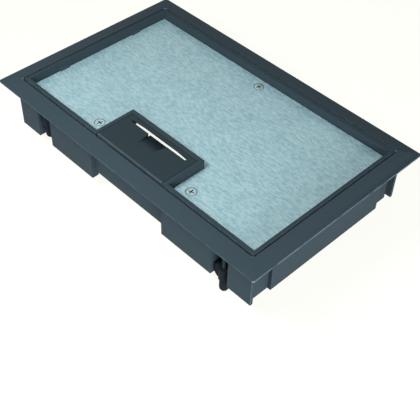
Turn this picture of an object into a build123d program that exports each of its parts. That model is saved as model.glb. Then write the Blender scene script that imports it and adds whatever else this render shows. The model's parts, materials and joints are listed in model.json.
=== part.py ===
from build123d import *
import os

# Hinged lid and mounting frame of a flush floor box, in millimetres.
# Origin: centre of the floor cut-out, at floor level, which is the flange's underside.
# +X along the long side, -Y towards the cable outlet, +Z up.

os.makedirs("parts", exist_ok=True)

# Floor flange
flange_length = 264.0
flange_width = 167.5
flange_band = 12.3      # from the outer edge to the lid opening
flange_edge = 1.0       # thickness at the outer edge
flange_rise = 2.35      # from the outer edge up to the lid opening
flange_crown = 0.3      # bulge of the slope above a straight line
flange_corner = 1.5

# Skirt
wall = 2.3
short_wall = 2.9        # at the two short sides
skirt_depth = 39.3
pocket_ledge = 4.5      # width of the ledge that the lid comes down on
pocket_ledge_thickness = 2.0
middle_half = 37.5      # recessed middle panel, front and back
middle_step = 3.3
middle_short = 5.3
side_corner = 18.95     # from the skirt's corner to the proud panel of a short side
side_step = 2.8
side_slit = 3.4         # open slit beside each corner
notch_corner = 21.1     # from the skirt's corner to a claw notch
notch_width = 15.5
notch_drop = 5.0        # from the floor down to the top of a notch

# Lid
lid_gap = 0.8
lid_front_gap = 1.5     # wider, so that a finger's nail finds the edge
lid_corner = 1.2
rim_side = 2.9
rim_front = 3.3
rim_back = 3.5
carpet_recess = 6.5
plate_thickness = 2.0
plate_gap = 0.5
lid_ledge = 7.0
lid_ledge_thickness = 3.4
rim_edge = 0.35         # rounding of the rim's top edges
seal_thickness = 1.0
seal_width = 3.0
seal_hinge_gap = 12.65   # the side strips end this far in front of the hinge
cross_rib_inset = 8.0    # from a claw notch to the middle of the rib beside it
cross_rib_width = 6.0

# Lid hinge
lid_axis_inset = 8.0
lid_axis_drop = 2.8
lid_heel_radius = 9.5
lid_pin_radius = 1.5
lid_pin_seat = 2.6      # length pressed into the rim
lid_pin_end_gap = 0.1
running_gap = 0.05

# Tabs on the rim over the ends of the plate
tab_place = 35.7
tab_width = 8.5
tab_reach = 1.6
tab_height = 1.6

# Plate screws, countersunk
plate_screw_front = 14.25  # from the lid's front edge to the two front screws
plate_screw_side = 11.0    # from the outlet's surround to the two front screws
plate_screw_back = 11.65   # from the lid's back edge to the back screw
plate_screw_radius = 2.0
plate_screw_head_radius = 3.6
plate_screw_length = 8.0
boss_radius = 4.6
boss_floor = 1.0

# Cable outlet and its surround
outlet_half = 34.1
outlet_depth = 33.15    # from the lid's front edge to the outlet's back face
surround_side = 2.8
surround_back = 3.6
surround_foot = 1.1     # thickness of the back wall at its bottom
slant_top_drop = 5.5    # the back wall's inner face slants out from here
slant_bottom_drop = 9.0
surround_ledge = 4.0

# Cable flap
flap_side_gap = 0.4
flap_back_gap = 0.5
flap_front_gap = 0.4
flap_skin = 1.4
flap_depth = 3.2
flap_rib = 3.0
flap_back_chamfer = 0.5
lip_width = 1.9
slot_half = 28.0
slot_near = 6.0         # from the outlet's back face to the slot's straight edge
slot_far_end = 4.0
slot_far_middle = 2.7
slot_corner = 0.6
dish_back_half = 9.7
dish_front_half = 7.1
dish_length = 12.4
dish_depth = 2.8
dish_floor = 1.2
dish_run = 1.9          # its floor runs on under the slot
flap_axis_inset = 2.2
flap_axis_drop = 1.6
flap_pin_radius = 1.2
flap_pin_seat = 3.8
flap_pin_reach = 2.0
flap_pin_end_gap = 0.2
flap_block = 4.6        # thick block round each flap pin

# Clamps
clamp_end = 7.1         # screw axis, from the notch's outer end
clamp_inset = 5.0       # screw axis, from the skirt's outer face
cheek = 2.0
cheek_depth = 30.0      # the cheeks slope back to the skirt below this
cheek_foot = 6.65       # how far they reach in at the skirt's bottom
clamp_back_wall = 1.5   # between the cheeks, behind the claw
shelf_reach = 7.0       # from the screw axis towards the middle of the box
shelf_edge_inset = 0.5
shelf_thickness = 2.3
head_clearance = 0.85   # from the lid down to the clamp screws' heads
clamp_screw_radius = 2.0
clamp_head_radius = 3.75
clamp_head_height = 2.2
clamp_screw_length = 25.0
clamp_hole_gap = 0.1
washer_radius = 4.25
washer_thickness = 0.5
washer_gap = 0.15
clip_radius = 3.6
clip_thickness = 0.8
clip_gap = 0.2
claw_gap = 0.2          # from the clip down to a raised claw
claw_travel = 14.0
claw_height = 22.6
claw_tube_radius = 3.4
claw_tube_length = 12.2
claw_boss_radius = 4.3
claw_toe_reach = 7.7
claw_toe_half = 2.5
claw_toe_chamfer = 3.0
claw_bore_gap = 0.3
claw_floor = 1.2
claw_top_wall = 1.4
bush_length = 7.0
bush_radius = 3.0

# Cross recess of all the screws
cross_slot = 0.9
cross_share = 0.62      # of the head's radius
cross_depth = 1.1

over = 1.0           # how far a cutting shape runs past what it cuts

# Levels and outlines that follow from the sizes above
lid_top = flange_edge + flange_rise
opening_x = flange_length / 2 - flange_band
opening_y = flange_width / 2 - flange_band
skirt_x = opening_x + short_wall
skirt_y = opening_y + wall
lid_x = opening_x - lid_gap
lid_y = opening_y - lid_gap
lid_front_y = -opening_y + lid_front_gap
rim_x = lid_x - rim_side
rim_front_y = lid_front_y + rim_front
rim_back_y = lid_y - rim_back
plate_top = lid_top - carpet_recess
plate_bottom = plate_top - plate_thickness
lid_bottom = plate_bottom - lid_ledge_thickness
ledge_top = lid_bottom - seal_thickness
ledge_bottom = ledge_top - pocket_ledge_thickness
side_panel_half = skirt_y - side_corner
notch_end = skirt_x - notch_corner
notch_start = notch_end - notch_width
cross_rib_place = notch_start - cross_rib_inset
clamp_place = notch_end - clamp_end
outlet_back_y = lid_front_y + outlet_depth
surround_x = outlet_half + surround_side
surround_back_y = outlet_back_y + surround_back
sill_top = lid_top - flap_depth
lid_axis_y = lid_y - lid_axis_inset
lid_axis_z = lid_top - lid_axis_drop
seal_back_y = lid_axis_y - seal_hinge_gap
plate_screw_x = surround_x + plate_screw_side
plate_screw_places = [
    (-plate_screw_x, lid_front_y + plate_screw_front),
    (plate_screw_x, lid_front_y + plate_screw_front),
    (0.0, lid_y - plate_screw_back),
]
flap_x = outlet_half - flap_side_gap
flap_back_y = outlet_back_y - flap_back_gap
flap_front_y = lid_front_y + flap_front_gap
flap_axis_y = flap_back_y - flap_axis_inset
flap_axis_z = lid_top - flap_axis_drop
clamp_y = skirt_y - clamp_inset
head_top = lid_bottom - head_clearance
washer_top = head_top - clamp_head_height
shelf_top = washer_top - washer_thickness
shelf_bottom = shelf_top - shelf_thickness
clip_top = shelf_bottom - clip_gap
claw_raised_top = clip_top - clip_thickness - claw_gap
clamp_corners = {
    "front_left": (-1, -1),
    "front_right": (1, -1),
    "back_left": (-1, 1),
    "back_right": (1, 1),
}
lowered_claw = "front_right"  # this claw hangs below the skirt, the others are raised


def block(x, y, z):
    """A box from the low and high value of each axis, in either order."""
    low = [min(pair) for pair in (x, y, z)]
    high = [max(pair) for pair in (x, y, z)]
    size = [b - a for a, b in zip(low, high)]
    middle = [(a + b) / 2 for a, b in zip(low, high)]
    return Pos(*middle) * Box(*size)


def rounded_block(half_x, half_y, z, radius):
    """An upright block with round corners, centred on the Z axis."""
    outline = RectangleRounded(2 * half_x, 2 * half_y, radius)
    return Pos(0, 0, min(z)) * extrude(outline, abs(z[1] - z[0]))


def upright(radius, z, x=0.0, y=0.0):
    """An upright cylinder from one level to the other."""
    return Pos(x, y, (z[0] + z[1]) / 2) * Cylinder(radius, abs(z[1] - z[0]))


def along_x(radius, x, y, z):
    """A cylinder along X from one place to the other."""
    return Pos((x[0] + x[1]) / 2, y, z) * Rot(0, 90, 0) * Cylinder(radius, abs(x[1] - x[0]))


def profile_along_x(points, half):
    """A prism along X of a closed outline of (y, z) points."""
    outline = make_face(Polyline(*[(0, y, z) for y, z in points], close=True))
    return Pos(-half, 0, 0) * extrude(outline, 2 * half, dir=(1, 0, 0))


def cross_recess(head_radius, top):
    """A cross that is cut into the top of a screw's head."""
    reach = head_radius * cross_share
    level = (top - cross_depth, top + cross_depth)
    bar = block((-reach, reach), (-cross_slot / 2, cross_slot / 2), level)
    return bar + Rot(0, 0, 90) * bar


def slope_height(inward):
    """Level of the flange's top at a distance in from its outer edge."""
    share = inward / flange_band
    return flange_edge + flange_rise * share + 4 * flange_crown * share * (1 - share)


def crowned_roof(half, run):
    """The flange's section across one pair of sides, run along X: a soft slope up to a flat top."""
    out = half + over
    top = half - flange_band
    middle = half - flange_band / 2
    low = slope_height(-over)
    section = make_face([
        Line((0, -out, 0), (0, out, 0)),
        Line((0, out, 0), (0, out, low)),
        ThreePointArc((0, out, low), (0, middle, slope_height(half - middle)), (0, top, lid_top)),
        Line((0, top, lid_top), (0, -top, lid_top)),
        ThreePointArc((0, -top, lid_top), (0, -middle, slope_height(half - middle)), (0, -out, low)),
        Line((0, -out, low), (0, -out, 0)),
    ])
    length = 2 * (run + over)
    return Pos(-length / 2, 0, 0) * extrude(section, length, dir=(1, 0, 0))


def make_flange():
    """Four mitred slopes: where the two roofs cross, the lower one holds."""
    long_roof = crowned_roof(flange_width / 2, flange_length / 2)
    short_roof = Rot(0, 0, 90) * crowned_roof(flange_length / 2, flange_width / 2)
    outline_level = (-over, lid_top + over)
    outline = rounded_block(flange_length / 2, flange_width / 2, outline_level, flange_corner)
    return long_roof & short_roof & outline


def long_side_panels(side):
    """The stepped lower skirt of the front (side -1) or the back (side 1)."""
    level = (ledge_top, -skirt_depth)
    short_level = (ledge_top, -skirt_depth + middle_short)
    outer = (side * opening_y, side * skirt_y)
    step_y = side * (skirt_y - middle_step)
    inner_y = step_y - side * wall
    panels = block((-middle_half, middle_half), (step_y, inner_y), short_level)
    for hand in (-1, 1):
        panels += block((hand * notch_end, hand * skirt_x), outer, level)
        panels += block((hand * middle_half, hand * notch_start), outer, level)
        returned = (hand * middle_half, hand * (middle_half + wall))
        panels += block(returned, (side * skirt_y, inner_y), level)
    return panels


def short_side_panels(hand):
    """The stepped lower skirt of the left (hand -1) or the right (hand 1) side."""
    level = (ledge_top, -skirt_depth)
    outer = (hand * opening_x, hand * skirt_x)
    step_x = hand * (skirt_x - side_step)
    inner_x = step_x - hand * wall
    panels = block(outer, (-side_panel_half, side_panel_half), level)
    for side in (-1, 1):
        beside = (side * side_panel_half, side * (opening_y - side_slit))
        panels += block((step_x, inner_x), beside, level)
        returned = (side * side_panel_half, side * (side_panel_half - wall))
        panels += block((hand * skirt_x, inner_x), returned, level)
    return panels


def clamp_housing(hand, side):
    """Two cheeks, a back wall and a shelf behind a notch, which carry one clamp screw."""
    y_in = side * (clamp_y - shelf_reach)
    outline = [
        (side * opening_y, ledge_top),
        (y_in, ledge_top),
        (y_in, -cheek_depth),
        (side * (skirt_y - cheek_foot), -skirt_depth),
        (side * opening_y, -skirt_depth),
    ]
    plate = profile_along_x(outline, cheek / 2)
    cheeks = Pos(hand * (notch_start - cheek / 2), 0, 0) * plate
    cheeks += Pos(hand * (notch_end + cheek / 2), 0, 0) * plate
    y_out = side * (skirt_y - shelf_edge_inset)
    shelf = block((hand * notch_start, hand * notch_end), (y_out, y_in), (shelf_bottom, shelf_top))
    across = (hand * (notch_start - cheek), hand * (notch_end + cheek))
    back = block(across, (y_in, y_in + side * clamp_back_wall), (ledge_top, -skirt_depth))
    return cheeks + shelf + back


def make_frame():
    frame = make_flange()
    frame += rounded_block(skirt_x, skirt_y, (ledge_bottom, flange_edge), flange_corner)
    opening_corner = lid_corner + lid_gap
    frame -= rounded_block(opening_x, opening_y, (ledge_top, lid_top + over), opening_corner)
    ledge_x = opening_x - pocket_ledge
    ledge_y = opening_y - pocket_ledge
    frame -= block((-ledge_x, ledge_x), (-ledge_y, ledge_y), (ledge_bottom - over, lid_top))
    for turn in (-1, 1):
        frame += long_side_panels(turn)
        frame += short_side_panels(turn)
    for hand, side in clamp_corners.values():
        across = (hand * notch_start, hand * notch_end)
        through = (side * (ledge_y - over), side * (skirt_y + over))
        frame -= block(across, through, (-notch_drop, -skirt_depth - over))
        frame += clamp_housing(hand, side)
        hole_radius = clamp_screw_radius + clamp_hole_gap
        hole_level = (shelf_bottom - over, shelf_top + over)
        frame -= upright(hole_radius, hole_level, hand * clamp_place, side * clamp_y)
    for hand in (-1, 1):
        reach = (hand * (opening_x - over), hand * skirt_x)
        frame -= along_x(lid_pin_radius + running_gap, reach, lid_axis_y, lid_axis_z)
    return frame


def make_seal():
    """Foam strips on the ledge, in front of the hinge and between the clamps."""
    level = (ledge_top, lid_bottom)
    front_half = notch_start - cheek - lid_gap
    front = (lid_front_y, lid_front_y + seal_width)
    strips = [block((-front_half, front_half), front, level)]
    for hand in (-1, 1):
        across = (hand * (opening_x - lid_gap), hand * (opening_x - lid_gap - seal_width))
        start = -(clamp_y - shelf_reach)
        strips.append(block(across, (start, seal_back_y), level))
    return Compound(children=strips)


def heel_waste():
    """What is rounded off below the lid's back edge, so that it turns clear of the frame."""
    waste = block((-lid_x - over, lid_x + over), (lid_axis_y, lid_y + over), (lid_bottom - over, lid_axis_z))
    return waste - along_x(lid_heel_radius, (-lid_x - 2 * over, lid_x + 2 * over), lid_axis_y, lid_axis_z)


def outlet_surround():
    """Walls on three sides of the cable outlet, with ledges for the plate beside them."""
    walls = block((-surround_x, surround_x), (rim_front_y, surround_back_y), (lid_bottom, lid_top))
    for hand in (-1, 1):
        beside = (hand * surround_x, hand * (surround_x + surround_ledge))
        walls += block(beside, (rim_front_y, surround_back_y), (lid_bottom, plate_bottom))
    walls -= block(
        (-outlet_half, outlet_half), (rim_front_y - over, outlet_back_y), (lid_bottom - over, lid_top + over)
    )
    foot_y = surround_back_y - surround_foot
    slant = [
        (outlet_back_y - over, lid_top - slant_top_drop),
        (outlet_back_y, lid_top - slant_top_drop),
        (foot_y, lid_top - slant_bottom_drop),
        (surround_back_y + over, lid_top - slant_bottom_drop),
        (surround_back_y + over, lid_bottom - over),
        (outlet_back_y - over, lid_bottom - over),
    ]
    return walls - profile_along_x(slant, outlet_half)


def plate_tab(hand, side):
    """A small wedge on the rim that holds the end of the plate down."""
    y = (side * tab_place - tab_width / 2, side * tab_place + tab_width / 2)
    tip = rim_x - tab_reach
    outline = [(rim_x, plate_top), (tip, plate_top), (rim_x, plate_top + tab_height)]
    face = make_face(Polyline(*[(hand * x, y[0], z) for x, z in outline], close=True))
    return extrude(face, tab_width, dir=(0, 1, 0))


def make_lid_frame():
    half_y = (lid_y - lid_front_y) / 2
    lid = Pos(0, lid_y - half_y, 0) * rounded_block(lid_x, half_y, (lid_bottom, lid_top), lid_corner)
    lid = fillet(lid.edges().group_by(Axis.Z)[-1], rim_edge)
    lid -= block((-rim_x, rim_x), (rim_front_y, rim_back_y), (plate_bottom, lid_top + over))
    hole_x = rim_x - lid_ledge
    hole_y = (rim_front_y + lid_ledge, rim_back_y - lid_ledge)
    lid -= block((-hole_x, hole_x), hole_y, (lid_bottom - over, lid_top))
    for x, y in plate_screw_places:
        lip_y = rim_back_y if y > 0 else rim_front_y
        lid += block((x - boss_radius, x + boss_radius), (y, lip_y), (lid_bottom, plate_bottom))
        boss_bottom = plate_top - plate_screw_length - boss_floor
        lid += upright(boss_radius, (boss_bottom, plate_bottom), x, y)
        lid -= upright(plate_screw_radius, (boss_bottom + boss_floor, plate_bottom), x, y)
    for hand in (-1, 1):
        x = hand * cross_rib_place
        rib = (x - cross_rib_width / 2, x + cross_rib_width / 2)
        lid += block(rib, (rim_front_y, rim_back_y), (lid_bottom, plate_bottom))
        for side in (-1, 1):
            lid += plate_tab(hand, side)
    lid += outlet_surround()
    lid -= block((-outlet_half, outlet_half), (lid_front_y - over, outlet_back_y), (sill_top, lid_top + over))
    lid -= block((-outlet_half, outlet_half), (rim_front_y, outlet_back_y), (lid_bottom - over, lid_top))
    lid -= heel_waste()
    for hand in (-1, 1):
        seat = (hand * (lid_x - lid_pin_seat), hand * (lid_x + over))
        lid -= along_x(lid_pin_radius, seat, lid_axis_y, lid_axis_z)
        flap_hole = (hand * (outlet_half - over), hand * (flap_pin_end + flap_pin_end_gap))
        lid -= along_x(flap_pin_radius + running_gap, flap_hole, flap_axis_y, flap_axis_z)
    return lid


def make_plate():
    """Steel insert with a cut-out round the outlet and three countersunk holes."""
    x = rim_x - plate_gap
    y = (rim_front_y + plate_gap, rim_back_y - plate_gap)
    plate = block((-x, x), y, (plate_bottom, plate_top))
    cut_x = surround_x + plate_gap
    plate -= block((-cut_x, cut_x), (y[0] - over, surround_back_y + plate_gap), (plate_bottom - over, lid_top))
    for place in plate_screw_places:
        plate -= Pos(*place, 0) * plate_screw_form()
    return plate


def plate_screw_form():
    """Countersunk head and shank, without its cross recess."""
    cone_depth = plate_screw_head_radius - plate_screw_radius
    cone = Cone(plate_screw_radius, plate_screw_head_radius, cone_depth)
    head = Pos(0, 0, plate_top - cone_depth / 2) * cone
    return head + upright(plate_screw_radius, (plate_top - plate_screw_length, plate_top - cone_depth))


def make_plate_screws():
    screw = plate_screw_form() - cross_recess(plate_screw_head_radius, plate_top)
    return Compound(children=[Pos(*place, 0) * screw for place in plate_screw_places])


def finger_slot():
    """Straight near edge, curved far edge."""
    near = outlet_back_y - slot_near
    far_end = outlet_back_y - slot_far_end
    far_middle = outlet_back_y - slot_far_middle
    outline = [
        Line((-slot_half + slot_corner, near), (slot_half - slot_corner, near)),
        Line((slot_half - slot_corner, near), (slot_half, near + slot_corner)),
        Line((slot_half, near + slot_corner), (slot_half, far_end)),
        ThreePointArc((slot_half, far_end), (0, far_middle), (-slot_half, far_end)),
        Line((-slot_half, far_end), (-slot_half, near + slot_corner)),
        Line((-slot_half, near + slot_corner), (-slot_half + slot_corner, near)),
    ]
    return Pos(0, 0, lid_top - flap_depth - over) * extrude(make_face(outline), flap_depth + 2 * over)


def dish(grow, depth):
    """Wedge in front of the slot, deepest at the slot, narrower at its shallow end."""
    back_y = outlet_back_y - slot_near
    front_y = back_y - dish_length - grow
    wedge = [
        (front_y, lid_top + over),
        (back_y, lid_top + over),
        (back_y, lid_top - depth),
        (front_y, lid_top - depth + dish_depth),
    ]
    plan = Polyline(
        (-dish_front_half - grow, front_y),
        (dish_front_half + grow, front_y),
        (dish_back_half + grow, back_y),
        (-dish_back_half - grow, back_y),
        close=True,
    )
    column = Pos(0, 0, lid_top - depth - over) * extrude(make_face(plan), depth + 3 * over)
    return profile_along_x(wedge, flap_x) & column


def make_flap():
    """Skin with ribs under its edges, a finger slot and a dish that leads to it."""
    front_y = flap_front_y + lip_width
    skin_bottom = lid_top - flap_skin
    rib_bottom = lid_top - flap_depth
    flap = block((-flap_x, flap_x), (front_y, flap_back_y), (rib_bottom, lid_top))
    inner_x = flap_x - flap_rib
    flap -= block((-inner_x, inner_x), (front_y + flap_rib, flap_back_y + over), (rib_bottom - over, skin_bottom))
    back_edge = flap.edges().filter_by(Axis.X).group_by(Axis.Y)[-1].sort_by(Axis.Z)[-1]
    flap = chamfer(back_edge, flap_back_chamfer)
    for hand in (-1, 1):
        across = (hand * flap_x, hand * (flap_x - flap_block))
        flap += block(across, (flap_back_y, flap_back_y - flap_block), (rib_bottom, skin_bottom))
    under = block((-flap_x, flap_x), (front_y, flap_back_y), (rib_bottom - dish_depth, lid_top))
    flap += dish(dish_floor, dish_depth + dish_floor) & under
    flap -= finger_slot()
    flap -= dish(0, dish_depth)
    slot_near_y = outlet_back_y - slot_near
    floor_level = (lid_top - dish_depth - dish_floor, lid_top - dish_depth)
    flap += block((-dish_back_half, dish_back_half), (slot_near_y - over, slot_near_y + dish_run), floor_level)
    for hand in (-1, 1):
        seat = (hand * (flap_x - flap_pin_seat), hand * (flap_x + over))
        flap -= along_x(flap_pin_radius, seat, flap_axis_y, flap_axis_z)
    return flap


def make_flap_lip():
    """Soft strip along the flap's front edge."""
    y = (flap_front_y, flap_front_y + lip_width)
    return block((-flap_x, flap_x), y, (lid_top - flap_depth, lid_top))


def make_claw(place):
    """Round-ended tube with a boss and a toe that points to the middle of the box."""
    x, y, hand = place
    joint = claw_tube_length
    tube = upright(claw_tube_radius, (claw_tube_radius, joint))
    tube += Pos(0, 0, claw_tube_radius) * Sphere(claw_tube_radius)
    boss = upright(claw_boss_radius, (joint, claw_height))
    tip = -hand * claw_toe_reach
    shoulder = -hand * (claw_toe_reach - claw_toe_chamfer)
    outline = Polyline(
        (0, -claw_toe_half, joint),
        (shoulder, -claw_toe_half, joint),
        (tip, -claw_toe_half, joint + claw_toe_chamfer),
        (tip, -claw_toe_half, claw_height),
        (0, -claw_toe_half, claw_height),
        close=True,
    )
    toe = extrude(make_face(outline), 2 * claw_toe_half, dir=(0, 1, 0))
    claw = tube + boss + toe
    claw -= upright(clamp_screw_radius + claw_bore_gap, (claw_floor, claw_height + over))
    bush_top = claw_height - claw_top_wall
    claw -= upright(bush_radius + running_gap, (bush_top - bush_length, bush_top))
    return Pos(x, y, 0) * claw


def make_clamp(hand, side, raised):
    """The five pieces of one clamp, in place."""
    x = hand * clamp_place
    y = side * clamp_y
    claw_level = claw_raised_top - claw_height - (0 if raised else claw_travel)
    bush_top = claw_level + claw_height - claw_top_wall
    screw_end = washer_top - clamp_screw_length
    bush = upright(bush_radius, (bush_top - bush_length, bush_top))
    bush -= upright(clamp_screw_radius + running_gap, (bush_top - bush_length - over, bush_top + over))
    screw = upright(clamp_head_radius, (washer_top, head_top))
    screw = fillet(screw.edges().group_by(Axis.Z)[-1], clamp_head_height / 3)
    screw += upright(clamp_screw_radius, (screw_end, washer_top))
    screw -= cross_recess(clamp_head_radius, head_top)
    washer = upright(washer_radius, (shelf_top, washer_top))
    washer -= upright(clamp_screw_radius + washer_gap, (shelf_top - over, washer_top + over))
    clip = upright(clip_radius, (clip_top - clip_thickness, clip_top))
    clip -= upright(clamp_screw_radius, (clip_top - clip_thickness - over, clip_top + over))
    placed = Pos(x, y, 0)
    return {
        "clamp_claw": Pos(0, 0, claw_level) * make_claw((x, y, hand)),
        "clamp_bush": placed * bush,
        "clamp_screw": placed * screw,
        "clamp_washer": placed * washer,
        "clamp_clip": placed * clip,
    }


flap_pin_end = outlet_half + flap_pin_reach

nodes = {
    "mounting_frame": make_frame(),
    "lid_seal": make_seal(),
    "lid_frame": make_lid_frame(),
    "lid_plate": make_plate(),
    "plate_screws": make_plate_screws(),
    "cable_flap": make_flap(),
    "flap_lip": make_flap_lip(),
}

for name, hand in (("left", -1), ("right", 1)):
    lid_pin = (hand * (lid_x - lid_pin_seat), hand * (skirt_x - lid_pin_end_gap))
    nodes["lid_hinge_pin_" + name] = along_x(lid_pin_radius, lid_pin, lid_axis_y, lid_axis_z)
    flap_pin = (hand * (flap_x - flap_pin_seat), hand * flap_pin_end)
    nodes["flap_hinge_pin_" + name] = along_x(flap_pin_radius, flap_pin, flap_axis_y, flap_axis_z)

for corner, (hand, side) in clamp_corners.items():
    for piece, shape in make_clamp(hand, side, corner != lowered_claw).items():
        nodes[piece + "_" + corner] = shape

for name, shape in nodes.items():
    shape.label = name
    export_step(shape, "parts/" + name + ".step")
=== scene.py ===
import json
import math

import bmesh
import bpy
from mathutils import Matrix, Vector


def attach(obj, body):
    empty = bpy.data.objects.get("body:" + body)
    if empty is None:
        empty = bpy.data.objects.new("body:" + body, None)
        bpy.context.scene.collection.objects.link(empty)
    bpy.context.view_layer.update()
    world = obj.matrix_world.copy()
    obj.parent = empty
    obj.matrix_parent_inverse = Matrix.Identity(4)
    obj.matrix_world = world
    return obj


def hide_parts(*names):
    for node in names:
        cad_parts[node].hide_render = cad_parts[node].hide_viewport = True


# Looks of the flush floor box lid and its mounting frame. Sizes are in metres, in the frame of the CAD.

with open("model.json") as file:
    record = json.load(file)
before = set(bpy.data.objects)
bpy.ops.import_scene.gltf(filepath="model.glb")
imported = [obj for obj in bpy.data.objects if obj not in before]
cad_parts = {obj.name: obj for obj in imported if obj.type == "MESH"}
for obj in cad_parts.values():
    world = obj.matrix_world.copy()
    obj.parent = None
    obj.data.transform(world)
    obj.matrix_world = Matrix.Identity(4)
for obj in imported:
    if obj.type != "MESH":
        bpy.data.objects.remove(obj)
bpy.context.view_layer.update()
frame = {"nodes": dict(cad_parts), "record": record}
nodes = frame["nodes"]
corners = {"front_left": (-1, -1), "front_right": (1, -1), "back_left": (-1, 1), "back_right": (1, 1)}
print("frame loaded:", len(nodes), "nodes")


# Camera, fitted to the edges of the flange, the lid and the skirt
cameraSetup = {
    "azimuth": 44.584,
    "elevation": 45.815,
    "roll": 2.049,
    "distance": 0.551111,
    "target": (0.071328, -0.061153, 0.001),
    "lens": 73.611,
    "sensor": 36,
}


def placeCamera(setup):
    turn, rise, roll = (math.radians(setup[key]) for key in ("azimuth", "elevation", "roll"))
    back = Vector((math.sin(turn) * math.cos(rise), -math.cos(turn) * math.cos(rise), math.sin(rise)))
    side = (-back).cross(Vector((0, 0, 1))).normalized()
    up = side.cross(-back)
    right = math.cos(roll) * side + math.sin(roll) * up
    upright = math.cos(roll) * up - math.sin(roll) * side
    data = bpy.data.cameras.new("photoCamera")
    data.lens = setup["lens"]
    data.sensor_width = setup["sensor"]
    data.clip_start = 0.01
    camera = bpy.data.objects.new("photoCamera", data)
    bpy.context.collection.objects.link(camera)
    turned = Matrix((right, upright, back)).transposed().to_4x4()
    camera.matrix_world = Matrix.Translation(Vector(setup["target"]) + back * setup["distance"]) @ turned
    bpy.context.scene.camera = camera


placeCamera(cameraSetup)


# A socket of a node tree, which takes part in Python sums
class Shade:
    def __init__(self, tree, socket=None):
        self.tree = tree
        self.socket = socket

    # adds any node: its settings first, then the values or links of its sockets
    def node(self, kind, settings=None, sockets=None, output=0):
        made = self.tree.nodes.new(kind)
        for key, value in (settings or {}).items():
            setattr(made, key, value)
        for key, value in (sockets or {}).items():
            target = made.inputs[key]
            if isinstance(value, Shade):
                self.tree.links.new(value.socket, target)
            else:
                target.default_value = value
        return Shade(self.tree, made.outputs[output] if len(made.outputs) else None)

    def maths(self, operation, *values):
        return self.node("ShaderNodeMath", {"operation": operation}, dict(enumerate(values)))

    def __add__(self, other):
        return self.maths("ADD", self, other)

    def __radd__(self, other):
        return self.maths("ADD", other, self)

    def __sub__(self, other):
        return self.maths("SUBTRACT", self, other)

    def __rsub__(self, other):
        return self.maths("SUBTRACT", other, self)

    def __mul__(self, other):
        return self.maths("MULTIPLY", self, other)

    def __rmul__(self, other):
        return self.maths("MULTIPLY", other, self)

    def __truediv__(self, other):
        return self.maths("DIVIDE", self, other)

    def __rtruediv__(self, other):
        return self.maths("DIVIDE", other, self)

    def __abs__(self):
        return self.maths("ABSOLUTE", self)

    def clamp(self):
        return self.node("ShaderNodeClamp", {}, {"Value": self, "Min": 0.0, "Max": 1.0})

    # 0 below the low value, 1 above the high one, with a soft rise between them
    def step(self, low, high):
        sockets = {"Value": self, "From Min": low, "From Max": high}
        return self.node("ShaderNodeMapRange", {"interpolation_type": "SMOOTHSTEP"}, sockets)

    def mixColour(self, first, second):
        return self.node("ShaderNodeMix", {"data_type": "RGBA"}, {0: self, 6: first, 7: second}, output=2)


def rgba(colour, level=1.0):
    return tuple(min(1.0, part * level) for part in colour) + (1.0,)


# 1 for rays from the camera, off a glossy surface or through a clear one
def seenRays(start):
    isCamera = start.node("ShaderNodeLightPath", output=0)
    isGlossy = start.node("ShaderNodeLightPath", output=3)
    isThrough = start.node("ShaderNodeLightPath", output=6)
    return (isCamera + isGlossy + isThrough).clamp()


studio = {
    "floorLevel": -0.0523,  # just under the claw that hangs low
    "floorHalf": 2.5,
    "floorColour": (0.9, 0.9, 0.88),
    "white": (1.0, 1.0, 0.945),
    "glow": 0.92,  # the part of the seen floor's white that no shadow takes away
    "shadowShare": 0.14,
    "airColour": (0.93, 0.97, 1.0),
    "airLevel": 0.21,
}


def paleFloor():
    material = bpy.data.materials.new("paleFloor")
    material.use_nodes = True
    tree = material.node_tree
    tree.nodes.clear()
    start = Shade(tree)
    matt = start.node("ShaderNodeBsdfDiffuse", {}, {"Color": rgba(studio["floorColour"])})
    glowing = rgba(studio["white"], studio["glow"])
    glow = start.node("ShaderNodeEmission", {}, {"Color": glowing, "Strength": 1.0})
    shaded = rgba(studio["white"], studio["shadowShare"])
    shadow = start.node("ShaderNodeBsdfDiffuse", {}, {"Color": shaded})
    white = start.node("ShaderNodeAddShader", {}, {0: glow, 1: shadow})
    mixed = start.node("ShaderNodeMixShader", {}, {0: seenRays(start), 1: matt, 2: white})
    start.node("ShaderNodeOutputMaterial", {}, {"Surface": mixed})
    return material


def layFloor():
    half, level = studio["floorHalf"], studio["floorLevel"]
    mesh = bpy.data.meshes.new("floor")
    places = [(x * half, y * half, level) for x, y in ((-1, -1), (1, -1), (1, 1), (-1, 1))]
    mesh.from_pydata(places, [], [(0, 1, 2, 3)])
    mesh.materials.append(paleFloor())
    floor = bpy.data.objects.new("floor", mesh)
    bpy.context.collection.objects.link(floor)


def lightWorld():
    world = bpy.data.worlds.new("studio")
    world.use_nodes = True
    bpy.context.scene.world = world
    tree = world.node_tree
    tree.nodes.clear()
    start = Shade(tree)
    air = {"Color": rgba(studio["airColour"]), "Strength": studio["airLevel"]}
    plain = start.node("ShaderNodeBackground", {}, air)
    white = start.node("ShaderNodeBackground", {}, {"Color": rgba(studio["white"]), "Strength": 1.0})
    mixed = start.node("ShaderNodeMixShader", {}, {0: seenRays(start), 1: plain, 2: white})
    start.node("ShaderNodeOutputWorld", {}, {"Surface": mixed})


lamps = {
    "frontBox": {"place": (-0.04, -0.26, 0.31), "aim": (0, 0, 0), "size": (0.16, 0.12), "power": 1.65},
    "rightBox": {"place": (0.70, -0.24, 0.13), "aim": (0.12, 0, -0.02), "size": (0.3, 0.16), "power": 4.6},
    "sheenBox": {"place": (-0.46, 0.10, 0.80), "aim": (0.03, -0.08, 0), "size": (0.28, 0.28), "power": 0.4},
}


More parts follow.
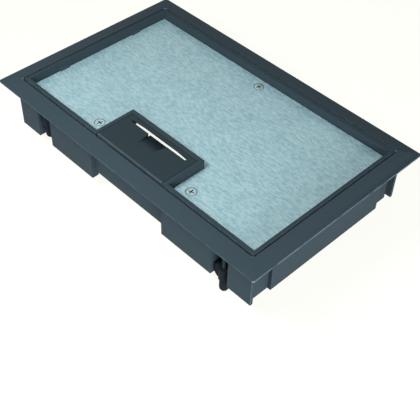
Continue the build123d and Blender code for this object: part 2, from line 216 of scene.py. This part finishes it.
def hangLamp(name, lamp):
    place, aim = Vector(lamp["place"]), Vector(lamp["aim"])
    data = bpy.data.lights.new(name, "AREA")
    data.shape = "RECTANGLE"
    data.size, data.size_y = lamp["size"]
    data.energy = lamp["power"]
    made = bpy.data.objects.new(name, data)
    bpy.context.collection.objects.link(made)
    made.location = place
    made.rotation_euler = (aim - place).to_track_quat("-Z", "Y").to_euler()


layFloor()
lightWorld()
for name, lamp in lamps.items():
    hangLamp(name, lamp)
bpy.context.scene.view_settings.view_transform = "Standard"
print("camera, floor, world and", len(lamps), "lamps ready")


# a material with its shader, and its place in Object coordinates
def newMaterial(name):
    material = bpy.data.materials.new(name)
    material.use_nodes = True
    tree = material.node_tree
    shader = next(node for node in tree.nodes if node.type == "BSDF_PRINCIPLED")
    return material, shader, Shade(tree).node("ShaderNodeTexCoord", output=3)


def join(value, shader, socket):
    value.tree.links.new(value.socket, shader.inputs[socket])


def noise(place, scale, detail=3.0, rough=0.5):
    sockets = {"Vector": place, "Scale": scale, "Detail": detail, "Roughness": rough}
    return place.node("ShaderNodeTexNoise", {}, sockets)


def stretched(place, stretch):
    return place.node("ShaderNodeMapping", {}, {"Vector": place, "Scale": stretch})


def bump(height, strength, distance):
    sockets = {"Height": height, "Strength": strength, "Distance": distance}
    return height.node("ShaderNodeBump", {}, sockets)


def coordinate(place, axis):
    return place.node("ShaderNodeSeparateXYZ", {}, {"Vector": place}, output=axis)


# 1 on a piece's rounded edges, 0 on its faces
def edgeMask(place):
    return place.node("ShaderNodeAttribute", {"attribute_name": "roundedEdge"}, output=2)


# painted shade: 0 above a level, rising to its share below another
def sunkShadeMask(place, sunk):
    return (1 - coordinate(place, 2).step(sunk["bottom"], sunk["top"])) * sunk["share"]


# painted highlight along the frame's outer edges and upright corners, stronger on the short sides
frameEdgeHighlight = {
    "flange": (0.132, 0.08375),  # half of its length and of its width
    "skirt": (0.1226, 0.07375),
    "skirtTop": (-0.0004, 0.0),  # the painted highlight on the skirt's corners fades out between these levels
    "reach": 0.0006,
    "patches": 130.0,
    "longSides": 0.25,  # of what the short sides show
    "share": 0.45,
}


# painted highlight: 1 along the flange's outer edges and the skirt's upright corners, in patches
def edgeHighlightMask(place, edgeHighlight):
    masks = {}
    for axis in range(2):
        away = abs(coordinate(place, axis))
        for form in ("flange", "skirt"):
            edge = edgeHighlight[form][axis]
            masks[form, axis] = away.step(edge - edgeHighlight["reach"], edge)
    outer = masks["flange", 0] + masks["flange", 1] * edgeHighlight["longSides"]
    belowFlange = 1 - coordinate(place, 2).step(*edgeHighlight["skirtTop"])
    upright = masks["skirt", 0] * masks["skirt", 1] * belowFlange
    patches = noise(place, edgeHighlight["patches"]).step(0.25, 0.6)
    return (outer + upright).clamp() * patches


# framePlastic's edge tone makes its rounded edges far lighter: mostly painted highlight over a little wear;
# the other plastics' lighter edges stand for wear
plastics = {
    "framePlastic": {"colour": (0.034, 0.052, 0.064), "rough": 0.38, "grain": 1500, "edgeShare": 0.9, "edge": 5.0},
    "lidPlastic": {"colour": (0.030, 0.046, 0.056), "rough": 0.44, "grain": 1500, "edgeShare": 0.5, "edge": 2.4},
    "flapPlastic": {"colour": (0.023, 0.036, 0.042), "rough": 0.50, "grain": 1800, "edgeShare": 0.4, "edge": 2.4},
    "clawPlastic": {"colour": (0.012, 0.017, 0.021), "rough": 0.50, "grain": 1500, "edgeShare": 0.3, "edge": 2.4},
}
moulding = {
    "clouds": 22.0,  # how fine the clouds and the wear are, as noise scales
    "wear": 240.0,
    "cloudTones": (0.88, 1.12),  # tones are shares of the plastic's own colour
    "speckleTone": 1.35,
    "paintedShadeTone": 0.25,
    "grainDepth": 0.00004,
    "shine": 0.015,
}
# painted shade low in the flap's dish, darker towards its floor
dishShade = {"top": 0.0032, "bottom": 0.0008, "share": 0.8}


# spark-eroded grain, faint flow clouds, rounded edges a little lighter from wear and on the frame from
# painted highlight, and painted shade low in a dish where asked
def mouldedPlastic(name, look, sunk=None, edgeHighlight=None):
    colour = look["colour"]
    material, shader, place = newMaterial(name)
    grain = noise(place, look["grain"], 2.0, 0.6)
    clouds = noise(place, moulding["clouds"])
    roundedEdge = edgeMask(place) * noise(place, moulding["wear"]).step(0.35, 0.65)
    if edgeHighlight:
        roundedEdge = (roundedEdge + edgeHighlightMask(place, edgeHighlight) * edgeHighlight["share"]).clamp()
    darker, lighter = (rgba(colour, tone) for tone in moulding["cloudTones"])
    clouded = ((clouds - 0.5) * 0.5 + 0.5).mixColour(darker, lighter)
    speckle = ((grain - 0.5) * 0.9 + 0.5) * 0.6
    grained = speckle.mixColour(clouded, rgba(colour, moulding["speckleTone"]))
    # lighter rounded edges: wear, and on the frame painted highlight
    edgedTone = (roundedEdge * look["edgeShare"]).mixColour(grained, rgba(colour, look["edge"]))
    if sunk:
        # painted shade, darker below the sunk level
        edgedTone = sunkShadeMask(place, sunk).mixColour(edgedTone, rgba(colour, moulding["paintedShadeTone"]))
    join(edgedTone, shader, "Base Color")
    rough = look["rough"] + (grain - 0.5) * 0.16 + (clouds - 0.5) * 0.06 - roundedEdge * 0.06
    join(rough, shader, "Roughness")
    join(bump(grain, 0.35, moulding["grainDepth"]), shader, "Normal")
    shader.inputs["Specular IOR Level"].default_value = moulding["shine"]
    return material


# the painted shade in the sheet's countersinks and the heads in them both follow these places
plateScrews = {
    "Half Spread": 0.0479,
    "Front": -0.0557,
    "Back": 0.059,
    "Level": -0.00323,
    "Seed": 4,
}
# painted shade in the ring round each screw head, between these distances from its axis
countersinks = {
    "level": -0.00315,
    "inner": 0.0038,
    "outer": 0.0044,
    "colour": (0.035, 0.055, 0.065),
}
sheetLook = {
    "pale": (0.36, 0.53, 0.57),
    "deep": (0.21, 0.36, 0.41),
    "roundedEdge": (0.7, 0.8, 0.8),
    "edgeShare": 0.4,
    "metal": 0.15,
    "rough": 0.42,
    "flecks": (230.0, 620.0, 230.0),
    "spangle": 900.0,
    "clouds": 55.0,
    "depth": 0.00003,
}


# where the three screws stand on the plate, in numbers or in sockets
def screwPlaces(sizes):
    half, front, back = (sizes[key] for key in ("Half Spread", "Front", "Back"))
    return (0 - half, front), (half, front), (0.0, back)


# zinc coated sheet: fine flecks along the rolling direction over soft spangle, with painted shade in the
# countersinks
def coatedSheet(look, sinks):
    material, shader, place = newMaterial("coatedSheet")
    flecks = noise(stretched(place, look["flecks"]), 1.0, 2.0, 0.55)
    spangle = noise(place, look["spangle"], 2.0)
    clouds = noise(place, look["clouds"], 4.0, 0.6)
    mottle = ((flecks - 0.5) * 2.4 + (spangle - 0.5) * 1.4 + (clouds - 0.5) * 0.8 + 0.5).clamp()
    tone = mottle.mixColour(rgba(look["deep"]), rgba(look["pale"]))
    # painted shade in each countersink
    sinkShade = 0.0
    for x, y in screwPlaces(plateScrews):
        spot = {0: place, 1: (x, y, sinks["level"])}
        away = place.node("ShaderNodeVectorMath", {"operation": "DISTANCE"}, spot, output=1)
        sinkShade = (1 - away.step(sinks["inner"], sinks["outer"])) + sinkShade
    edgedTone = (edgeMask(place) * look["edgeShare"]).mixColour(tone, rgba(look["roundedEdge"]))
    join(sinkShade.clamp().mixColour(edgedTone, rgba(sinks["colour"])), shader, "Base Color")
    join(look["rough"] + (mottle - 0.5) * 0.16, shader, "Roughness")
    join(bump(flecks + spangle * 0.5, 0.3, look["depth"]), shader, "Normal")
    shader.inputs["Metallic"].default_value = look["metal"]
    return material


metals = {
    "brightZinc": {"colour": (0.40, 0.54, 0.58), "rough": 0.34, "turned": 1400.0},
    # zinc darkened as if in shade: painted shade for the clamp hardware down in the notches
    "shadedZinc": {"colour": (0.040, 0.052, 0.058), "rough": 0.45, "turned": 1400.0},
    "drawnPin": {"colour": (0.50, 0.52, 0.53), "rough": 0.30, "turned": 900.0},
    "turnedBrass": {"colour": (0.72, 0.50, 0.20), "rough": 0.28, "turned": 1200.0},
}
turning = {
    "stretch": (0.15, 0.15, 1.0),  # the marks run round an upright axis
    "patches": 700.0,
    "dullTone": 0.72,  # tones are shares of the metal's own colour
    "rubbedTone": 1.25,
    "paintedShadeTone": 0.1,
    "edgeShare": 0.4,
    "depth": 0.00002,
}
# painted shade deep in the plate screws' cross
crossShade = {"top": -0.0033, "bottom": -0.0036, "share": 0.85}


# tool marks and dull patches on a small metal piece, and painted shade in a screw's cross
def turnedMetal(name, look, sunk=None):
    colour = look["colour"]
    material, shader, place = newMaterial(name)
    marks = noise(stretched(place, turning["stretch"]), look["turned"], 2.0)
    dull = noise(place, turning["patches"], 4.0).step(0.45, 0.75)
    tone = dull.mixColour(rgba(colour), rgba(colour, turning["dullTone"]))
    edgedTone = (edgeMask(place) * turning["edgeShare"]).mixColour(tone, rgba(colour, turning["rubbedTone"]))
    if sunk:
        # painted shade, darker deeper down
        edgedTone = sunkShadeMask(place, sunk).mixColour(edgedTone, rgba(colour, turning["paintedShadeTone"]))
    join(edgedTone, shader, "Base Color")
    join(look["rough"] + marks * 0.08 + dull * 0.12, shader, "Roughness")
    join(bump(marks, 0.3, turning["depth"]), shader, "Normal")
    shader.inputs["Metallic"].default_value = 1.0
    return material


rubberLook = {
    "colour": (0.030, 0.046, 0.058),
    "rough": 0.6,
    "skin": 1800.0,
    "depth": 0.00004,
    "bloom": 90.0,
    "bloomTone": 1.5,
    "shine": 0.3,
}


def softRubber(look):
    material, shader, place = newMaterial("lipRubber")
    skin = noise(place, look["skin"])
    bloom = noise(place, look["bloom"], 4.0).step(0.4, 0.7)
    tone = (bloom * 0.5).mixColour(rgba(look["colour"]), rgba(look["colour"], look["bloomTone"]))
    join(tone, shader, "Base Color")
    join(look["rough"] + (skin - 0.5) * 0.2, shader, "Roughness")
    join(bump(skin, 0.3, look["depth"]), shader, "Normal")
    shader.inputs["Specular IOR Level"].default_value = look["shine"]
    return material


foamLook = {
    "skin": (0.024, 0.024, 0.027),
    "pit": (0.006, 0.006, 0.007),
    "cells": 1500.0,
    "depth": 0.00015,
    "shine": 0.15,
}


def cellFoam(look):
    material, shader, place = newMaterial("sealFoam")
    cells = place.node("ShaderNodeTexVoronoi", {}, {"Vector": place, "Scale": look["cells"]})
    walls = cells.step(0.15, 0.5)
    join(walls.mixColour(rgba(look["pit"]), rgba(look["skin"])), shader, "Base Color")
    join(0.95 - walls * 0.1, shader, "Roughness")
    join(bump(walls, 0.8, look["depth"]), shader, "Normal")
    shader.inputs["Specular IOR Level"].default_value = look["shine"]
    return material


# painted highlights and painted shade that only some finishes have
extras = {
    "framePlastic": {"edgeHighlight": frameEdgeHighlight},
    "flapPlastic": {"sunk": dishShade},
    "brightZinc": {"sunk": crossShade},
}
finishes = {"coatedSheet": coatedSheet(sheetLook, countersinks)}
for maker, looks in ((mouldedPlastic, plastics), (turnedMetal, metals)):
    for name, look in looks.items():
        finishes[name] = maker(name, look, **extras.get(name, {}))
finishes["lipRubber"] = softRubber(rubberLook)
finishes["sealFoam"] = cellFoam(foamLook)
print("finishes:", ", ".join(sorted(finishes)))


record = frame["record"]
bodyOf = {node: body for body, members in record["behaviour"]["bodies"].items() for node in members}

solidShading = {
    "samePlane": 0.99998,  # cosine of the angle between faces that count as one flat face
    "narrow": 0.0035,      # flat faces narrower than this are shaded softly
    "crease": 8.0,         # and so are edges flatter than this, in degrees
    "roundedEdge": 0.95,        # of the edge radius: narrower faces count as its rounding
}


# faces that lie in one plane, with their area and how wide they are
def flatRegions(work):
    regionOf, regions = {}, []
    for first in work.faces:
        if first in regionOf:
            continue
        members, waiting = [], [first]
        regionOf[first] = len(regions)
        while waiting:
            face = waiting.pop()
            members.append(face)
            for edge in face.edges:
                for other in edge.link_faces:
                    if other in regionOf:
                        continue
                    if other.normal.dot(first.normal) > solidShading["samePlane"]:
                        regionOf[other] = len(regions)
                        waiting.append(other)
        area = sum(face.calc_area() for face in members)
        points = [vert.co for face in members for vert in face.verts]
        reach = Vector(max(p[i] for p in points) - min(p[i] for p in points) for i in range(3)).length
        regions.append({"normal": first.normal.copy(), "area": area, "width": area / max(reach, 1e-9)})
    return regionOf, regions


# flat faces stay flat and only their rounded edges and curved walls are shaded softly
def shadeLikeSolid(mesh, radius):
    work = bmesh.new()
    work.from_mesh(mesh)
    work.faces.ensure_lookup_table()
    regionOf, regions = flatRegions(work)
    flatEnough = math.cos(math.radians(solidShading["crease"]))

    def soft(edge):
        if len(edge.link_faces) != 2:
            return False
        one, two = (regions[regionOf[face]] for face in edge.link_faces)
        thin = min(one["width"], two["width"]) < solidShading["narrow"]
        return thin or one["normal"].dot(two["normal"]) > flatEnough

    # the faces round a corner that no sharp edge cuts off from it
    def fanOf(loop):
        fan, waiting = {loop.face}, [loop.face]
        while waiting:
            for edge in waiting.pop().edges:
                if loop.vert in edge.verts and isSoft[edge]:
                    fresh = [face for face in edge.link_faces if face not in fan]
                    fan.update(fresh)
                    waiting.extend(fresh)
        return fan

    isSoft = {edge: soft(edge) for edge in work.edges}
    normals = []
    for face in work.faces:
        for loop in face.loops:
            total = Vector()
            for index in {regionOf[member] for member in fanOf(loop)}:
                total += regions[index]["normal"] * regions[index]["area"] ** 2
            normals.append(total.normalized() if total.length > 0 else face.normal)
    for edge in work.edges:
        edge.smooth = isSoft[edge]
    for face in work.faces:
        face.smooth = True
    widest = solidShading["roundedEdge"] * radius
    roundedEdge = [float(regions[regionOf[face]]["width"] < widest) for face in work.faces]
    work.to_mesh(mesh)
    work.free()
    mesh.attributes.new("roundedEdge", "FLOAT", "FACE").data.foreach_set("value", roundedEdge)
    mesh.normals_split_custom_set(normals)


# a node's loose triangles merged into one skin, or the part of it that a test keeps
def mergedMesh(nodeName, keep=None, weld=2e-6):
    work = bmesh.new()
    work.from_mesh(nodes[nodeName].data)
    bmesh.ops.remove_doubles(work, verts=work.verts, dist=weld)
    if keep:
        gone = [face for face in work.faces if not keep(face.calc_center_median())]
        bmesh.ops.delete(work, geom=gone, context="FACES")
    mesh = bpy.data.meshes.new(nodeName + "_finished")
    work.to_mesh(mesh)
    work.free()
    mesh.materials.clear()
    return mesh


def newPiece(nodeName, mesh):
    piece = bpy.data.objects.new(nodeName + "_finished", mesh)
    bpy.context.collection.objects.link(piece)
    return piece


edgeRounding = {"segments": 2, "sharp": 25}  # only edges that turn by more degrees are rounded


def roundEdges(piece, radius, miter):
    bevel = piece.modifiers.new("edges", "BEVEL")
    bevel.width = radius
    bevel.segments = edgeRounding["segments"]
    bevel.limit_method = "ANGLE"
    bevel.angle_limit = math.radians(edgeRounding["sharp"])
    bevel.miter_outer = miter


# modifiers turned into plain mesh, with one finish, in place of the node
def settle(piece, nodeName, finish, radius):
    graph = bpy.context.evaluated_depsgraph_get()
    mesh = bpy.data.meshes.new_from_object(piece.evaluated_get(graph))
    piece.modifiers.clear()
    piece.data = mesh
    mesh.materials.clear()
    mesh.materials.append(finishes[finish])
    mesh.polygons.foreach_set("material_index", [0] * len(mesh.polygons))
    shadeLikeSolid(mesh, radius)
    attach(piece, bodyOf[nodeName])
    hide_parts(nodeName)
    print("finished", nodeName, len(mesh.polygons), "faces")


def roundedPiece(nodeName, finish, radius):
    piece = newPiece(nodeName, mergedMesh(nodeName))
    roundEdges(piece, radius, "MITER_ARC")
    settle(piece, nodeName, finish, radius)


# a Geometry Nodes tree with one named input for each size
def newTree(name, sizes):
    tree = bpy.data.node_groups.new(name, "GeometryNodeTree")
    tree.interface.new_socket("Geometry", in_out="INPUT", socket_type="NodeSocketGeometry")
    kinds = {tuple: "NodeSocketVector", float: "NodeSocketFloat", int: "NodeSocketInt"}
    for label, value in sizes.items():
        socket = tree.interface.new_socket(label, in_out="INPUT", socket_type=kinds[type(value)])
        socket.default_value = value
    tree.interface.new_socket("Geometry", in_out="OUTPUT", socket_type="NodeSocketGeometry")
    inputs = tree.nodes.new("NodeGroupInput")
    return tree, {socket.name: Shade(tree, socket) for socket in inputs.outputs if socket.name}


def closeTree(geometry, finish):
    real = geometry.node("GeometryNodeRealizeInstances", {}, {"Geometry": geometry})
    paint = {"Geometry": real, "Material": finishes[finish]}
    painted = geometry.node("GeometryNodeSetMaterial", {}, paint)
    geometry.node("NodeGroupOutput", {}, {0: painted})


def joined(*shapes):
    tree = shapes[0].tree
    together = tree.nodes.new("GeometryNodeJoinGeometry")
    for shape in shapes:
        tree.links.new(shape.socket, together.inputs[0])
    return Shade(tree, together.outputs[0])


def moved(geometry, place):
    return geometry.node("GeometryNodeTransform", {}, {"Geometry": geometry, "Translation": place})


def vector(start, x, y, z):
    return start.node("ShaderNodeCombineXYZ", {}, {0: x, 1: y, 2: z})


# a piece that a tree grows from the mesh that it is given
def grownPiece(nodeName, mesh, tree, sizes, finish, radius=0.0001):
    piece = newPiece(nodeName, mesh)
    roundEdges(piece, radius, "MITER_SHARP")
    modifier = piece.modifiers.new(tree.name, "NODES")
    modifier.node_group = tree
    for socket in tree.interface.items_tree:
        if socket.in_out == "INPUT" and socket.name in sizes:
            modifier[socket.identifier] = sizes[socket.name]
    settle(piece, nodeName, finish, radius)


clampScrew = {
    "Shank Top": (0.0944, 0.06875, -0.0116),
    "Length": 0.025,
    "Crest Radius": 0.00198,
    "Core Radius": 0.0016,
    "Pitch": 0.0007,
    "Tip": 0.0007,
}
screwMesh = {
    "turn": 14,  # steps in one turn of the thread
    "ridge": 4,  # corners of the thread's section
    "shank": 24,  # sides of the shank
    "point": 0.7,  # the tip's radius as a share of the core's
}


# shank with a right-hand spiral thread, under the head that the piece brings along
def screwTree():
    tree, given = newTree("clampScrew", clampScrew)
    start = Shade(tree)
    length, core, pitch, tip = (given[key] for key in ("Length", "Core Radius", "Pitch", "Tip"))
    ridge = given["Crest Radius"] - core
    run = length - tip
    sides = screwMesh["shank"]
    spiral = start.node("GeometryNodeCurveSpiral", {}, {
        "Resolution": screwMesh["turn"],
        "Rotations": run / pitch,
        "Start Radius": core,
        "End Radius": core,
        "Height": run,
        "Reverse": True,
    })
    upright = start.node("GeometryNodeSetCurveNormal", {"mode": "Z_UP"}, {"Curve": spiral})
    circle = {"Resolution": screwMesh["ridge"], "Radius": ridge}
    section = start.node("GeometryNodeCurvePrimitiveCircle", {}, circle)
    sweep = {"Curve": upright, "Profile Curve": section, "Fill Caps": True}
    thread = moved(start.node("GeometryNodeCurveToMesh", {}, sweep), vector(start, 0, 0, tip))
    shank = start.node("GeometryNodeMeshCylinder", {}, {"Vertices": sides, "Radius": core, "Depth": run})
    narrow = core * screwMesh["point"]
    cone = {"Vertices": sides, "Radius Top": core, "Radius Bottom": narrow, "Depth": tip}
    point = start.node("GeometryNodeMeshCone", {}, cone)
    standing = joined(thread, moved(shank, vector(start, 0, 0, run * 0.5 + tip)), point)
    fall = {0: given["Shank Top"], 1: vector(start, 0, 0, length)}
    foot = start.node("ShaderNodeVectorMath", {"operation": "SUBTRACT"}, fall)
    closeTree(joined(given["Geometry"], moved(standing, foot)), "shadedZinc")
    return tree


# three heads set out on the plate, each turned as it happened to be tightened
def setOutTree():
    tree, given = newTree("plateScrews", plateScrews)
    start = Shade(tree)
    spots = []
    for x, y in screwPlaces(given):
        spot = {"Count": 1, "Position": vector(start, x, y, given["Level"])}
        spots.append(start.node("GeometryNodePoints", {}, spot))
    turns = {2: 0.0, 3: math.pi / 2, 8: given["Seed"]}
    turn = start.node("FunctionNodeRandomValue", {"data_type": "FLOAT"}, turns, output=1)
    placed = start.node("GeometryNodeInstanceOnPoints", {}, {
        "Points": joined(*spots),
        "Instance": given["Geometry"],
        "Rotation": vector(start, 0, 0, turn),
    })
    closeTree(placed, "brightZinc")
    return tree


threads = screwTree()
x, y, top = clampScrew["Shank Top"]
for corner, (hand, side) in corners.items():
    nodeName = "clamp_screw_" + corner
    head = mergedMesh(nodeName, lambda spot: spot.z > top - 1e-5)
    sizes = {**clampScrew, "Shank Top": (hand * x, side * y, top)}
    grownPiece(nodeName, head, threads, sizes, "shadedZinc")

# the head at the back stands for all three, a little smaller so that its countersink shows
plateHead = {"reach": 0.01, "share": 0.98}
backScrew = Vector((0.0, plateScrews["Back"], countersinks["level"]))
head = mergedMesh("plate_screws", lambda spot: (spot - backScrew).length < plateHead["reach"])
for vert in head.vertices:
    away = vert.co - backScrew
    vert.co = (away.x * plateHead["share"], away.y * plateHead["share"], away.z)
grownPiece("plate_screws", head, setOutTree(), plateScrews, "brightZinc")

rounded = {
    "mounting_frame": {"finish": "framePlastic", "radius": 0.00035},
    "lid_seal": {"finish": "sealFoam", "radius": 0.0002},
    "lid_frame": {"finish": "lidPlastic", "radius": 0.0002},
    "lid_plate": {"finish": "coatedSheet", "radius": 0.0001},
    "cable_flap": {"finish": "flapPlastic", "radius": 0.00025},
    "flap_lip": {"finish": "lipRubber", "radius": 0.0003},
}
for side in ("left", "right"):
    rounded["lid_hinge_pin_" + side] = {"finish": "drawnPin", "radius": 0.0002}
    rounded["flap_hinge_pin_" + side] = {"finish": "drawnPin", "radius": 0.0002}
for corner in corners:
    rounded["clamp_claw_" + corner] = {"finish": "clawPlastic", "radius": 0.0003}
    rounded["clamp_bush_" + corner] = {"finish": "turnedBrass", "radius": 0.0002}
    rounded["clamp_washer_" + corner] = {"finish": "shadedZinc", "radius": 0.0001}
    rounded["clamp_clip_" + corner] = {"finish": "shadedZinc", "radius": 0.0001}
for nodeName, look in rounded.items():
    roundedPiece(nodeName, look["finish"], look["radius"])
